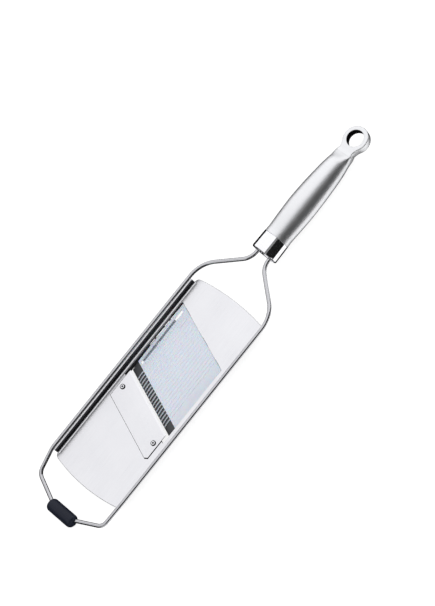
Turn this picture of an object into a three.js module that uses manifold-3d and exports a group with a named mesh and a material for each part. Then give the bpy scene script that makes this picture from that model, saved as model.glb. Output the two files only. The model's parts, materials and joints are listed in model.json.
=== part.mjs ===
// Hand-held adjustable slicer (mandoline): a steel plate hung in one bent wire, with a round handle,
// a slanted blade and a ribbed ramp whose tilt sets the slice thickness.
// Millimetres. x runs from the foot loop to the hanging eye, y across the plate, z up from the food face.
import * as THREE from 'three';
import { mergeVertices } from 'three/addons/utils/BufferGeometryUtils.js';
import Module from 'manifold-3d';

const wasm = await Module();
wasm.setup();

const radians = THREE.MathUtils.degToRad;
const vector = (x, y, z) => new THREE.Vector3(x, y, z);

// ---- driving dimensions ----
// plate: a shallow channel with convex ends
const plateLength = 196;
const plateInnerWidth = 78.2;
const sheet = 1.0;
const wallHeight = 6.0;
const wallSetback = 7.5;
const bendRadius = 2.0;
const handleEndRise = 3.7;
const footEndRise = 4.7;
const plateCornerRadius = 4.0;

// window: everything slanted shares one skew angle
const skewAngle = 19.7;
const workCentreY = 1.5;
const windowWidth = 69.6;
const windowCornerRadius = 2.0;
const cuttingEdgeX = -12.0;
const windowReach = 70.5;
const bladeOverhang = 6.0;

// blade and its seat
const bladeWidth = 26.4;
const bladeLength = 64.6;
const bladeCentreY = 1.8;
const bladeThickness = 0.8;
const bladeProud = 0.1;
const bevelWidth = 2.0;
const bladeCornerClip = 2.6;
const seatBorder = 1.4;
const seatSheet = 1.0;
const screwInset = 4.3;
const screwShaftRadius = 1.3;
const screwHeadRadius = 2.3;
const screwHeadHeight = 0.7;
const nutRadius = 2.6;
const nutHeight = 1.7;

// wire frame: reaches run out from the plate's ends
const wireRadius = 1.7;
const wireHeight = 6.5;
const wireTailSpacing = 13.8;
const wireTailLength = 34;
const shoulderReach = 35.9;
const shoulderRadius = 16;
const railReach = 7.3;
const railBendRadius = 28;
const dipLead = 8.3;
const dipRadius = 24;
const loopCornerReach = 14.7;
const loopCornerInset = 3.0;
const loopCornerRadius = 9;
const loopEndReach = 27.9;
const loopEndHalf = 9.7;
const loopEndRadius = 7;
const loopDrop = 7.25;

// foot sleeve on the loop
const footRadius = 5.8;
const footLength = 29.6;
const footRounding = 3.6;

// handle: it starts past the plate's end, and its stations run from its start
const handleReach = 44.4;
const ferruleLength = 16.6;
const ferruleRadius = 12.25;
const ferruleLip = 1.2;
const waistRadius = 11.7;
const waistStation = 22.6;
const bellyRadius = 12.7;
const bellyStation = 51.6;
const neckRadius = 8.2;
const neckStation = 105.6;
const neckHalfThickness = 4.6;
const flattenStation = 92.6;
const handleDroop = 1.3;
const droopStation = 47.6;
const handleWall = 1.0;
const spigotLength = 7;
const plugThickness = 3.0;
const plugRecess = 1.0;

// hanging eye
const eyeReach = 15.9;
const eyeRadius = 11.3;
const eyeHoleRadius = 7.6;
const eyeThickness = 7.6;
const eyeRounding = 1.2;
const eyeNeckHalf = 7.3;
const tangLength = 13;

// ramp
const hingeSetback = 4.0;
const pinHeight = -3.6;
const pinRadius = 0.9;
const knuckleRadius = 1.9;
const knuckleLength = 8;
const knuckleSpots = [27, -4, -25];
const tongueThickness = 1.3;
const rampTopAtHinge = -0.25;
const rampTopAtThroat = -2.0;
const rampBase = 1.1;
const ribHeight = 0.5;
const ribWidth = 0.8;
const ribPitch = 3.0;
const ribCount = 17;
const ribFieldCentreY = 1.0;
const throatLength = 9.4;
const fingerDrop = 1.0;
const fingerHeight = 0.8;
const stripThickness = 0.5;
const laneSlotWidth = 2.6;
const laneSlotInset = 3.7;

// cheeks under the plate that carry the hinge pin and the lift rod
const cheekSheet = 0.8;
const cheekBottom = -6.2;
const cheekFlange = 2.5;
const cheekPastHinge = 6;
const cheekPastEdge = 2;

// thickness adjuster: a rod that climbs slanted slots under the ramp
const rodDistance = 42;
const rodRadius = 0.9;
const slideTowardsBlade = 6;
const slideTowardsHandle = 11;
const tiltPerMillimetre = 0.002235;
const liftGap = 0.35;
const slideBarWidth = 7.0;
const slideBarThickness = 0.8;
const slideBarToBlade = 19;
const slideBarToHandle = 24;
const studOffset = 21.4;
const notchPitch = 2.0;
const notchDepth = 0.3;
const capRadius = 1.45;
const capLength = 1.4;

// clearances
const weldGap = 0.2;
const restGap = 0.2;
const runningGap = 0.15;
const sideGap = 0.6;
const laneSideGap = 1.4;
const seatGap = 0.3;
const seatEndGap = 0.9;
const jointGap = 0.2;

// ---- values that follow from them ----
const tanSkew = Math.tan(radians(skewAngle));
const cosSkew = Math.cos(radians(skewAngle));
const plateEnd = plateLength / 2;
const wallLength = plateLength - 2 * wallSetback;
const shoulderX = plateEnd + shoulderReach;
const railEndX = plateEnd + railReach;
const dipStartX = dipLead - plateEnd;
const loopCornerX = -plateEnd - loopCornerReach;
const loopEndX = -plateEnd - loopEndReach;
const handleStart = plateEnd + handleReach;
const waistX = handleStart + waistStation;
const bellyX = handleStart + bellyStation;
const neckX = handleStart + neckStation;
const flattenStart = handleStart + flattenStation;
const droopStart = handleStart + droopStation;
const eyeX = neckX + eyeReach;
const innerHalf = plateInnerWidth / 2;
const outerHalf = innerHalf + sheet;
const railY = outerHalf + wireRadius + weldGap;
const windowLeft = workCentreY + windowWidth / 2;
const windowRight = workCentreY - windowWidth / 2;
const windowHandleX = cuttingEdgeX + windowReach;
const windowFootX = cuttingEdgeX - bladeOverhang;
const hingeX = windowHandleX + hingeSetback;
const bladeBottom = bladeProud - bladeThickness;
const bladeBackX = cuttingEdgeX - bladeWidth;
const bladeLeft = bladeCentreY + bladeLength / 2;
const bladeRight = bladeCentreY - bladeLength / 2;
const seatTop = bladeBottom - restGap;
const seatBottom = seatTop - seatSheet;
const screwX = cuttingEdgeX - bladeWidth / 2;
const screwSpots = { left: bladeLeft - screwInset, right: bladeRight + screwInset };
const rampStart = hingeSetback + 0.5;
const throatStart = hingeSetback + windowReach - throatLength;
const fingerEnd = hingeSetback + windowReach - 1;
const rampLeft = windowLeft - laneSideGap;
const rampRight = windowRight + sideGap;
const laneY = rampLeft - laneSlotInset;
const rodX = hingeX - rodDistance;
const studX = rodX + tanSkew * laneY + studOffset;

// ---- solids ----
const toSolid = (geometry) => {
  const bare = geometry.clone();
  bare.deleteAttribute('normal');
  bare.deleteAttribute('uv');
  const merged = mergeVertices(bare, 1e-4);
  return new wasm.Manifold(new wasm.Mesh({
    numProp: 3,
    vertProperties: new Float32Array(merged.attributes.position.array),
    triVerts: new Uint32Array(merged.index.array),
  }));
};

const toGeometry = (solid) => {
  const mesh = solid.getMesh();
  const geometry = new THREE.BufferGeometry();
  geometry.setAttribute('position', new THREE.BufferAttribute(mesh.vertProperties, 3));
  geometry.setIndex(new THREE.BufferAttribute(mesh.triVerts, 1));
  geometry.computeVertexNormals();
  return geometry;
};

const join = (...geometries) => geometries.map(toSolid).reduce((whole, next) => whole.add(next));
const cut = (solid, ...tools) => tools.map(toSolid).reduce((whole, tool) => whole.subtract(tool), solid);

// a flat outline in x and y, raised from one height to another
const raised = (shape, low, high, options = {}) => new THREE.ExtrudeGeometry(
  shape, { depth: high - low, bevelEnabled: false, curveSegments: 8, ...options }).translate(0, 0, low);

// a side outline in x and z, carried across the plate from one y to another
const across = (shape, fromY, toY) => new THREE.ExtrudeGeometry(
  shape, { depth: toY - fromY, bevelEnabled: false }).rotateX(Math.PI / 2).translate(0, toY, 0);

// slants a piece so that what was square across the plate follows the blade
const skewed = (geometry) => geometry.applyMatrix4(
  new THREE.Matrix4().makeShear(0, 0, tanSkew, 0, 0, 0));

const outline = (points) => new THREE.Shape(points.map(([x, y]) => new THREE.Vector2(x, y)));

const block = (x0, x1, y0, y1, z0, z1) => new THREE.BoxGeometry(x1 - x0, y1 - y0, z1 - z0)
  .translate((x0 + x1) / 2, (y0 + y1) / 2, (z0 + z1) / 2);

// a round bar between two points
const bar = (start, end, radius, sides = 16) => {
  const run = end.clone().sub(start);
  const turn = new THREE.Quaternion().setFromUnitVectors(vector(0, 1, 0), run.clone().normalize());
  const middle = start.clone().add(end).multiplyScalar(0.5);
  return new THREE.CylinderGeometry(radius, radius, run.length(), sides).applyQuaternion(turn)
    .translate(middle.x, middle.y, middle.z);
};

// a bar along the slant, through (x, 0) at a height, between two y values
const slantBar = (x, height, fromY, toY, radius, sides) => bar(
  vector(x + tanSkew * fromY, fromY, height), vector(x + tanSkew * toY, toY, height), radius, sides);

const ring = (start, end, outer, inner) => toGeometry(cut(toSolid(bar(start, end, outer, 20)),
  bar(start.clone().lerp(end, -0.5), start.clone().lerp(end, 1.5), inner, 16)));

// a bent bar: straight runs joined by arcs, with stations only where the direction changes
class BentCurve extends THREE.Curve {
  constructor(stations) {
    super();
    this.stations = stations;
  }

  station(share) {
    return this.stations[Math.round(share * (this.stations.length - 1))];
  }

  getPointAt(share) {
    return this.station(share).point.clone();
  }

  getTangentAt(share) {
    return this.station(share).tangent.clone();
  }
}

const bentPath = (corners, radii, stepDegrees = 13) => {
  const heading = (i) => corners[i + 1].clone().sub(corners[i]).normalize();
  const last = corners.length - 1;
  const stations = [{ point: corners[0], tangent: heading(0) }];
  for (let i = 1; i < last; i += 1) {
    const into = heading(i - 1);
    const turn = into.angleTo(heading(i));
    const axis = into.clone().cross(heading(i)).normalize();
    const start = corners[i].clone().addScaledVector(into, -radii[i - 1] * Math.tan(turn / 2));
    const centre = start.clone().addScaledVector(axis.clone().cross(into), radii[i - 1]);
    const steps = Math.max(2, Math.ceil(turn / radians(stepDegrees)));
    for (let k = 0; k <= steps; k += 1) {
      const spin = new THREE.Quaternion().setFromAxisAngle(axis, turn * k / steps);
      const arm = start.clone().sub(centre).applyQuaternion(spin);
      stations.push({ point: centre.clone().add(arm), tangent: into.clone().applyQuaternion(spin) });
    }
  }
  stations.push({ point: corners[last], tangent: heading(last - 1) });
  return new BentCurve(stations);
};

const roundSection = (radius) => new THREE.Shape().absarc(0, 0, radius, 0, 2 * Math.PI);

const sweep = (path, radius, sides) => new THREE.ExtrudeGeometry(roundSection(radius), {
  extrudePath: path, steps: path.stations.length - 1, curveSegments: sides, bevelEnabled: false,
});

// a turned piece: [x, radius] pairs spun about the handle's axis
const turned = (profile, sides = 28) => {
  const points = profile.map(([x, radius]) => new THREE.Vector2(radius, x));
  return new THREE.LatheGeometry(points, sides).rotateZ(-Math.PI / 2).translate(0, 0, wireHeight);
};

// ---- finishes ----
const finish = (color, roughness, metalness) => (
  new THREE.MeshStandardMaterial({ color, roughness, metalness }));
const satinSteel = finish(0xdfe0e4, 0.34, 1.0);
const polishedSteel = finish(0xe8e9ec, 0.1, 1.0);
const handleSteel = finish(0xc9cace, 0.42, 1.0);
const bladeSteel = finish(0xe6e7ea, 0.22, 1.0);
const blackRubber = finish(0x17181b, 0.55, 0.0);
const frostedRamp = finish(0xd5dde6, 0.4, 0.0);
const darkPlastic = finish(0x2b2d31, 0.5, 0.0);
const resin = finish(0x8d8f94, 0.7, 0.0);

const slicer = new THREE.Group();
const addPiece = (name, geometry, material) => {
  const mesh = new THREE.Mesh(geometry, material);
  mesh.name = name;
  slicer.add(mesh);
  return mesh;
};

// ---- slicing plate ----
const plateFloor = () => {
  const half = innerHalf - 0.2;
  const handleCorner = plateEnd - handleEndRise;
  const footCorner = footEndRise - plateEnd;
  const r = plateCornerRadius;
  const shape = new THREE.Shape();
  shape.moveTo(footCorner + r, -half);
  shape.lineTo(handleCorner - r, -half);
  shape.quadraticCurveTo(handleCorner, -half, handleCorner + handleEndRise * 0.2, -half + r);
  shape.quadraticCurveTo(plateEnd + handleEndRise * 0.72, 0, handleCorner + handleEndRise * 0.2, half - r);
  shape.quadraticCurveTo(handleCorner, half, handleCorner - r, half);
  shape.lineTo(footCorner + r, half);
  shape.quadraticCurveTo(footCorner, half, footCorner - footEndRise * 0.2, half - r);
  shape.quadraticCurveTo(-plateEnd - footEndRise * 0.72, 0, footCorner - footEndRise * 0.2, -half + r);
  shape.quadraticCurveTo(footCorner, -half, footCorner + r, -half);
  return raised(shape, -sheet, 0, { curveSegments: 14 });
};

const plateChannel = () => {
  const flat = innerHalf - bendRadius;
  const outerBend = bendRadius + sheet;
  const section = new THREE.Shape();
  section.moveTo(-outerHalf, wallHeight);
  section.lineTo(-outerHalf, bendRadius);
  section.absarc(-flat, bendRadius, outerBend, Math.PI, 1.5 * Math.PI);
  section.lineTo(flat, -sheet);
  section.absarc(flat, bendRadius, outerBend, 1.5 * Math.PI, 2 * Math.PI);
  section.lineTo(outerHalf, wallHeight);
  section.lineTo(innerHalf, wallHeight);
  section.lineTo(innerHalf, bendRadius);
  section.absarc(flat, bendRadius, bendRadius, 2 * Math.PI, 1.5 * Math.PI, true);
  section.lineTo(-flat, 0);
  section.absarc(-flat, bendRadius, bendRadius, 1.5 * Math.PI, Math.PI, true);
  section.closePath();
  return new THREE.ExtrudeGeometry(section, { depth: wallLength, bevelEnabled: false, curveSegments: 5 })
    .rotateX(Math.PI / 2).rotateZ(Math.PI / 2).translate(-wallLength / 2, 0, 0);
};

const windowOutline = () => {
  const r = windowCornerRadius;
  const shape = new THREE.Shape();
  shape.moveTo(windowFootX, windowRight);
  shape.lineTo(windowHandleX, windowRight);
  shape.lineTo(windowHandleX, windowLeft - r);
  shape.quadraticCurveTo(windowHandleX, windowLeft, windowHandleX - r, windowLeft);
  shape.lineTo(windowFootX, windowLeft);
  shape.closePath();
  return shape;
};

const bladeOutline = (grow, growRight, front) => {
  const clip = bladeCornerClip;
  return outline([
    [bladeBackX - grow, bladeLeft + grow],
    [bladeBackX - grow, bladeRight - growRight + clip],
    [bladeBackX - grow + clip, bladeRight - growRight],
    [front, bladeRight - growRight],
    [front, bladeLeft + grow],
  ]);
};

const plateSolid = () => {
  const seat = skewed(block(bladeBackX - seatBorder, windowFootX, bladeRight - seatBorder,
    bladeLeft + seatBorder, seatBottom, -sheet / 2));
  const pocket = skewed(raised(bladeOutline(seatGap, seatEndGap, windowFootX + 1), seatTop, 1));
  const holes = Object.values(screwSpots).map((y) => bar(
    vector(screwX + tanSkew * y, y, seatBottom - 1), vector(screwX + tanSkew * y, y, 1),
    screwShaftRadius + runningGap));
  const opening = skewed(raised(windowOutline(), seatBottom - 1, 1));
  return cut(join(plateChannel(), plateFloor(), seat), opening, pocket, ...holes);
};
addPiece('slicing_plate', toGeometry(plateSolid()), satinSteel);

// ---- wire frame: one bent wire whose two tails run into the handle ----
const tailY = wireTailSpacing / 2;
const dipAt = (x) => wireHeight - loopDrop * (dipStartX - x) / (dipStartX - loopEndX);
const halfWire = [
  vector(handleStart + wireTailLength, tailY, wireHeight),
  vector(shoulderX, tailY, wireHeight),
  vector(railEndX, railY, wireHeight),
  vector(dipStartX, railY, wireHeight),
  vector(loopCornerX, railY - loopCornerInset, dipAt(loopCornerX)),
  vector(loopEndX, loopEndHalf, dipAt(loopEndX)),
];
const halfRadii = [shoulderRadius, railBendRadius, dipRadius, loopCornerRadius, loopEndRadius];
const mirrored = halfWire.map((p) => vector(p.x, -p.y, p.z)).reverse();
const wirePath = bentPath([...halfWire, ...mirrored], [...halfRadii, ...[...halfRadii].reverse()]);
addPiece('frame_wire', sweep(wirePath, wireRadius, 12), polishedSteel);

// ---- foot sleeve ----
const footSolid = () => {
  const half = footLength / 2;
  const profile = [new THREE.Vector2(0, -half)];
  for (let k = 0; k <= 5; k += 1) {
    const turn = radians(90 * k / 5);
    profile.push(new THREE.Vector2(footRadius - footRounding * (1 - Math.sin(turn)),
      -half + footRounding * (1 - Math.cos(turn))));
  }
  const other = profile.map((p) => new THREE.Vector2(p.x, -p.y)).reverse();
  const sleeve = new THREE.LatheGeometry([...profile, ...other], 24)
    .translate(loopEndX, 0, dipAt(loopEndX));
  return cut(toSolid(sleeve), sweep(wirePath, wireRadius + runningGap, 12));
};
addPiece('end_foot', toGeometry(footSolid()), blackRubber);

// ---- handle ----
const ferruleEnd = handleStart + ferruleLength;
const bellyCurve = new THREE.SplineCurve([
  new THREE.Vector2(ferruleEnd + jointGap, waistRadius + 0.2),
  new THREE.Vector2(waistX, waistRadius),
  new THREE.Vector2((waistX + bellyX) / 2, (waistRadius + 2 * bellyRadius) / 3),
  new THREE.Vector2(bellyX, bellyRadius),
  new THREE.Vector2(bellyX + (neckX - bellyX) * 0.35, bellyRadius * 0.95),
  new THREE.Vector2(bellyX + (neckX - bellyX) * 0.7, bellyRadius * 0.45 + neckRadius * 0.6),
  new THREE.Vector2(neckX, neckRadius),
]);

const smooth = (value) => THREE.MathUtils.smoothstep(value, 0, 1);
const droopAt = (x) => handleDroop * smooth((x - droopStart) / (neckX - droopStart));

// the round shell sinks slightly and flattens towards the neck
const shapedHandle = (geometry) => {
  const position = geometry.attributes.position;
  for (let i = 0; i < position.count; i += 1) {
    const x = position.getX(i);
    const share = smooth((x - flattenStart) / (neckX - flattenStart));
    const flatten = 1 - (1 - neckHalfThickness / neckRadius) * share;
    const fromAxis = position.getZ(i) - wireHeight;
    position.setZ(i, wireHeight - droopAt(x) + fromAxis * flatten);
  }
  return geometry;
};

const shellProfile = () => {
  const outside = bellyCurve.getPoints(20).map((p) => [p.x, p.y]);
  const inside = bellyCurve.getPoints(9).map((p) => [p.x, p.y - handleWall]).reverse();
  return [...outside, ...inside, outside[0]];
};
addPiece('handle_shell', shapedHandle(turned(shellProfile())), handleSteel);

const ferruleProfile = () => {
  const bore = ferruleRadius - 1.3;
  const spigot = waistRadius - handleWall - runningGap;
  const lip = [];
  for (let k = 0; k <= 4; k += 1) {
    const turn = radians(90 * k / 4);
    lip.push([handleStart + ferruleLip * (1 - Math.sin(turn)),
      ferruleRadius - ferruleLip * (1 - Math.cos(turn))]);
  }
  return [
    [handleStart + plugThickness + plugRecess + jointGap, bore],
    [handleStart, bore],
    ...lip.reverse(),
    [ferruleEnd, waistRadius + 0.2],
    [ferruleEnd, spigot],
    [ferruleEnd + spigotLength, spigot],
    [ferruleEnd + spigotLength, spigot - 1],
    [handleStart + plugThickness + plugRecess + jointGap, spigot - 1],
    [handleStart + plugThickness + plugRecess + jointGap, bore],
  ];
};
addPiece('handle_ferrule', turned(ferruleProfile()), polishedSteel);

const tailHoles = (fromX, toX) => [tailY, -tailY].map((y) => bar(
  vector(fromX, y, wireHeight), vector(toX, y, wireHeight), wireRadius + runningGap));

const plugSolid = () => {
  const start = handleStart + plugRecess;
  const radius = ferruleRadius - 1.3 - runningGap;
  const disc = bar(vector(start, 0, wireHeight), vector(start + plugThickness, 0, wireHeight), radius, 28);
  return cut(toSolid(disc), ...tailHoles(start - 1, start + plugThickness + 1));
};
addPiece('handle_end_plug', toGeometry(plugSolid()), polishedSteel);

const anchorSolid = () => {
  const start = handleStart + plugRecess + plugThickness + 2;
  const end = handleStart + wireTailLength - 3;
  const radius = waistRadius - handleWall - runningGap - 1 - jointGap;
  const core = bar(vector(start, 0, wireHeight), vector(end, 0, wireHeight), radius, 24);
  return cut(toSolid(core), ...tailHoles(start - 1, end + 1));
};
addPiece('wire_anchor', toGeometry(anchorSolid()), resin);

// ---- hanging eye: a thick flat ring with a tang that sits in the neck of the shell ----
const eyeSolid = () => {
  const ringRadius = eyeRadius - eyeRounding;
  const neckHalf = eyeNeckHalf - eyeRounding;
  const rootX = neckX + jointGap;
  const leave = radians(128);
  const shape = new THREE.Shape();
  shape.moveTo(rootX + eyeRounding, -neckHalf);
  shape.quadraticCurveTo(rootX + 5, -neckHalf * 0.96,
    eyeX + ringRadius * Math.cos(leave), -ringRadius * Math.sin(leave));
  shape.absarc(eyeX, 0, ringRadius, -leave, leave);
  shape.quadraticCurveTo(rootX + 5, neckHalf * 0.96, rootX + eyeRounding, neckHalf);
  shape.closePath();
  const middle = wireHeight - handleDroop;
  const bulge = eyeThickness * 0.36;
  const body = raised(shape, middle - eyeThickness / 2 + bulge, middle + eyeThickness / 2 - bulge, {
    bevelEnabled: true, bevelThickness: bulge, bevelSize: eyeRounding, bevelSegments: 2, curveSegments: 20,
  });
  const halfTang = neckHalfThickness - handleWall - 0.8;
  const tang = block(rootX - tangLength, rootX + 4, -neckHalf + 1.6, neckHalf - 1.6,
    middle - halfTang, middle + halfTang);
  const hole = bar(vector(eyeX, 0, middle - eyeThickness), vector(eyeX, 0, middle + eyeThickness),
    eyeHoleRadius, 36);
  return cut(join(body, tang), hole);
};
addPiece('hanging_eye', toGeometry(eyeSolid()), satinSteel);

// ---- blade, its two screws and their nuts ----
const bladeSolid = () => {
  const body = raised(bladeOutline(0, 0, cuttingEdgeX), bladeBottom, bladeProud);
  const bevel = across(outline([
    [cuttingEdgeX - bevelWidth, bladeProud + 0.5],
    [cuttingEdgeX - bevelWidth, bladeProud],
    [cuttingEdgeX, bladeBottom + 0.1],
    [cuttingEdgeX + 1, bladeBottom + 0.1],
    [cuttingEdgeX + 1, bladeProud + 0.5],
  ]), bladeRight - 1, bladeLeft + 1);
  const holes = Object.values(screwSpots).map((y) => bar(
    vector(screwX + tanSkew * y, y, bladeBottom - 1), vector(screwX + tanSkew * y, y, 1),
    screwShaftRadius + runningGap));
  return cut(toSolid(skewed(body)), skewed(bevel), ...holes);
};
addPiece('blade', toGeometry(bladeSolid()), bladeSteel);

const screwProfile = () => {
  const top = bladeProud + restGap + screwHeadHeight;
  const socket = screwHeadRadius * 0.34;
  const low = bladeProud + restGap;
  const tip = seatBottom - restGap - nutHeight - 0.3;
  return [[0, tip], [screwShaftRadius, tip], [screwShaftRadius, low], [screwHeadRadius, low],
    [screwHeadRadius, low + 0.25], [screwHeadRadius * 0.86, top - 0.12], [screwHeadRadius * 0.6, top],
    [socket, top], [socket, top - 0.35], [0, top - 0.35]].map(([r, z]) => new THREE.Vector2(r, z));
};

for (const [side, y] of Object.entries(screwSpots)) {
  const x = screwX + tanSkew * y;
  addPiece(`blade_screw_${side}`, new THREE.LatheGeometry(screwProfile(), 20).rotateX(Math.PI / 2)
    .translate(x, y, 0), polishedSteel);
  const nutTop = seatBottom - restGap;
  const nut = cut(toSolid(bar(vector(x, y, nutTop - nutHeight), vector(x, y, nutTop), nutRadius, 6)),
    bar(vector(x, y, nutTop - nutHeight - 1), vector(x, y, nutTop + 1), screwShaftRadius + runningGap));
  addPiece(`blade_nut_${side}`, toGeometry(nut), polishedSteel);
}

// ---- ramp: distances run from the hinge pin towards the blade ----
const rampX = (distance) => hingeX - distance;
const rampSlope = (rampTopAtHinge - rampTopAtThroat) / (throatStart - rampStart);
const crestAt = (distance) => rampTopAtHinge - rampSlope * (distance - rampStart);
const undersideAt = (distance) => crestAt(distance) - ribHeight - rampBase;

const fingerTopAt = (distance) => {
  const share = (distance - throatStart) / (fingerEnd - throatStart);
  return crestAt(distance) - fingerDrop * share * share;
};

const rampSolid = () => {
  const base = skewed(across(outline([
    [rampX(rampStart), crestAt(rampStart) - ribHeight],
    [rampX(throatStart), crestAt(throatStart) - ribHeight],
    [rampX(throatStart), undersideAt(throatStart)],
    [rampX(rampStart), undersideAt(rampStart)],
  ]), rampRight, rampLeft));
  const throat = [0, 0.25, 0.5, 0.75, 1].map((share) => throatStart + share * (fingerEnd - throatStart));
  const ribOutline = outline([
    [rampX(rampStart + 1), crestAt(rampStart + 1) - ribHeight - 0.2],
    [rampX(rampStart + 1.5), crestAt(rampStart + 1.5)],
    ...throat.map((distance) => [rampX(distance), fingerTopAt(distance)]),
    ...[...throat].reverse().map((distance) => [rampX(distance), fingerTopAt(distance) - fingerHeight]),
  ]);
  const ribs = Array.from({ length: ribCount }, (_, i) => {
    const y = ribFieldCentreY + (i - (ribCount - 1) / 2) * ribPitch;
    return skewed(across(ribOutline, y - ribWidth / 2, y + ribWidth / 2));
  });
  const knuckleReach = knuckleLength / 2 * cosSkew;
  const knuckles = knuckleSpots.flatMap((y) => [
    slantBar(hingeX, pinHeight, y - knuckleReach, y + knuckleReach, knuckleRadius),
    skewed(block(rampX(rampStart + 5), rampX(0), y - knuckleLength / 2, y + knuckleLength / 2,
      undersideAt(rampStart) - tongueThickness, undersideAt(rampStart) + 0.1)),
  ]);
  const slot = skewed(block(rampX(throatStart - 1.5), rampX(rampStart + 4), laneY - laneSlotWidth / 2,
    laneY + laneSlotWidth / 2, rampTopAtThroat - 4, 1));
  const pinBore = slantBar(hingeX, pinHeight, rampRight - 10, rampLeft + 10, pinRadius + runningGap);
  return cut(join(base, ...ribs, ...knuckles), slot, pinBore);
};
addPiece('depth_ramp', toGeometry(rampSolid()), frostedRamp);

const stripGeometry = () => {
  const start = throatStart + jointGap;
  const bed = (distance) => fingerTopAt(distance) - fingerHeight - jointGap;
  const shares = [0, 0.33, 0.67, 1].map((share) => start + share * (fingerEnd - start));
  return skewed(across(outline([
    ...shares.map((distance) => [rampX(distance), bed(distance)]),
    ...[...shares].reverse().map((distance) => [rampX(distance), bed(distance) - stripThickness]),
  ]), rampRight, rampLeft));
};
addPiece('throat_strip', stripGeometry(), darkPlastic);

// ---- cheeks ----
const liftAt = (distance) => {
  const near = rodDistance - slideTowardsHandle;
  const far = rodDistance + slideTowardsBlade;
  const under = (d, slide) => undersideAt(d) - tiltPerMillimetre * slide * d * cosSkew;
  const low = under(near, slideTowardsHandle);
  const high = under(far, -slideTowardsBlade);
  return low + (high - low) * (distance - near) / (far - near) - liftGap - rodRadius;
};
const travelRise = liftAt(rodDistance + 1) - liftAt(rodDistance);

const slotAlong = (centreDistance, y) => {
  const near = centreDistance - slideTowardsHandle;
  const far = centreDistance + slideTowardsBlade;
  const half = rodRadius + runningGap;
  const level = liftAt(rodDistance) - travelRise * centreDistance;
  const height = (distance) => level + travelRise * distance;
  const ends = [near, far].map((d) => slantBar(rampX(d), height(d), y - 2, y + 2, half));
  const run = skewed(across(outline([
    [rampX(near), height(near) - half], [rampX(near), height(near) + half],
    [rampX(far), height(far) + half], [rampX(far), height(far) - half],
  ]), y - 2, y + 2));
  return [...ends, run];
};

const cheekSolid = (side) => {
  const inner = side > 0 ? windowLeft + 0.1 : windowRight - 0.1;
  const outer = inner + side * cheekSheet;
  const middle = (inner + outer) / 2;
  const top = -sheet - weldGap;
  const [yLow, yHigh] = [Math.min(inner, outer), Math.max(inner, outer)];
  const [flangeLow, flangeHigh] = side > 0 ? [yLow, yHigh + cheekFlange] : [yLow - cheekFlange, yHigh];
  const start = windowFootX - cheekPastEdge + tanSkew * middle;
  const end = hingeX + cheekPastHinge + tanSkew * middle;
  const web = block(start + seatBorder, end, yLow, yHigh, cheekBottom, top);
  const flange = block(start + seatBorder, end, flangeLow, flangeHigh, top - cheekSheet, top);
  const pinHole = slantBar(hingeX, pinHeight, middle - 3, middle + 3, pinRadius + runningGap / 2);
  const studSlot = side > 0 ? slotAlong(hingeX + tanSkew * middle - studX, middle) : [];
  return cut(join(web, flange), pinHole, ...slotAlong(rodDistance, middle), ...studSlot);
};
addPiece('cheek_left', toGeometry(cheekSolid(1)), satinSteel);
addPiece('cheek_right', toGeometry(cheekSolid(-1)), satinSteel);

// ---- hinge pin and its end caps ----
const cheekOuterLeft = windowLeft + 0.1 + cheekSheet;
const cheekOuterRight = windowRight - 0.1 - cheekSheet;
const capStandoff = 0.7;
const endAllowance = capStandoff + capLength * cosSkew + 0.3;

const slantPoint = (x, y, height) => vector(x + tanSkew * y, y, height);
const addCaps = (name, x, height) => {
  const reach = capLength * cosSkew;
  for (const [side, start, step] of [
    ['left', cheekOuterLeft + capStandoff, reach], ['right', cheekOuterRight - capStandoff, -reach]]) {
    addPiece(`${name}_${side}`, ring(slantPoint(x, start, height), slantPoint(x, start + step, height),
      capRadius, pinRadius + runningGap / 3), polishedSteel);
  }
};

addPiece('hinge_pin', slantBar(hingeX, pinHeight,
  cheekOuterRight - endAllowance, cheekOuterLeft + endAllowance, pinRadius), polishedSteel);
addCaps('pin_cap', hingeX, pinHeight);

// ---- thickness adjuster: rod, slide bar, guide stud and caps ----
const rodHeight = liftAt(rodDistance);
addPiece('lift_rod', slantBar(rodX, rodHeight,
  cheekOuterRight - endAllowance, cheekOuterLeft + endAllowance, rodRadius), polishedSteel);
addCaps('rod_cap', rodX, rodHeight);

const barBottom = rodHeight - rodRadius - slideBarThickness;
const slideSolid = () => {
  const x = rodX + tanSkew * laneY;
  const low = laneY - slideBarWidth / 2;
  const high = laneY + slideBarWidth / 2;
  const strip = block(x - slideBarToBlade, x + slideBarToHandle, low, high,
    barBottom, barBottom + slideBarThickness);
  const saddle = block(x - 2.2, x + 2.2, low + 1.2, high - 1.2, barBottom, rodHeight + 0.4);
  const studSaddle = block(studX - 1.9, studX + 1.9, high - 3, high, barBottom, rodHeight + 0.4);
  const bore = slantBar(rodX, rodHeight, low - 3, high + 3, rodRadius + runningGap / 3);
  const studBore = bar(vector(studX, high - 2.4, rodHeight), vector(studX, high + 3, rodHeight),
    rodRadius + runningGap / 3);
  const notches = [];
  for (let at = x - slideBarToBlade + notchPitch; at < x + slideBarToHandle - 1; at += notchPitch) {
    if (Math.abs(at - x) > 3.4 && Math.abs(at - studX) > 3.1) {
      notches.push(block(at - 0.35, at + 0.35, low - 1, high + 1,
        barBottom + slideBarThickness - notchDepth, rodHeight + 1));
    }
  }
  return cut(join(strip, saddle, studSaddle), bore, studBore, ...notches);
};
addPiece('depth_slide', toGeometry(slideSolid()), darkPlastic);

const studY = laneY + slideBarWidth / 2;
addPiece('guide_stud', bar(vector(studX, studY - 2.2, rodHeight),
  vector(studX, cheekOuterLeft + 0.5, rodHeight), rodRadius), polishedSteel);

// the origin stands under the middle of the whole slicer, on the surface it rests on
const extent = new THREE.Box3().setFromObject(slicer);
const middle = extent.getCenter(new THREE.Vector3());
slicer.position.set(-middle.x, -middle.y, -extent.min.z);

export default slicer;
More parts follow.
